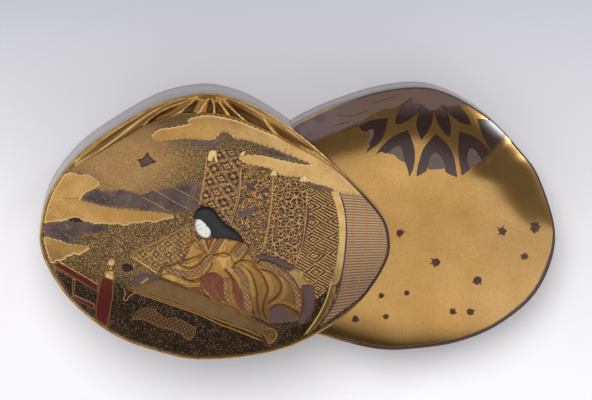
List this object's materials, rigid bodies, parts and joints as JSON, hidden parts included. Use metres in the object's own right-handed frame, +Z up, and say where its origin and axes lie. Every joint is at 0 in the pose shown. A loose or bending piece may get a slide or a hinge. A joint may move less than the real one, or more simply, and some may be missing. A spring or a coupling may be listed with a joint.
{
  "type": "shell-shaped lacquer box",
  "caption": "Small lidded lacquer box in the form of overlapping clam shells, a dished pictorial shell beside a lower domed gold one; lift-off lid.",
  "frame": {"origin": "on the underside, at the middle of the whole outline", "axes": "+Z up out of the lid, +X along the length from the dished shell to the domed one, +Y towards the hinge side of both shells"},
  "size_m": [0.1232, 0.0638, 0.03],
  "materials": {
    "base_lacquer": "polished dark brown lacquer over wood",
    "lid_gold_lacquer": "polished gold powder lacquer over wood, with low relief"
  },
  "bodies": {
    "root": {"box_base": "base_lacquer", "box_lid": "lid_gold_lacquer"}
  },
  "joints": []
}
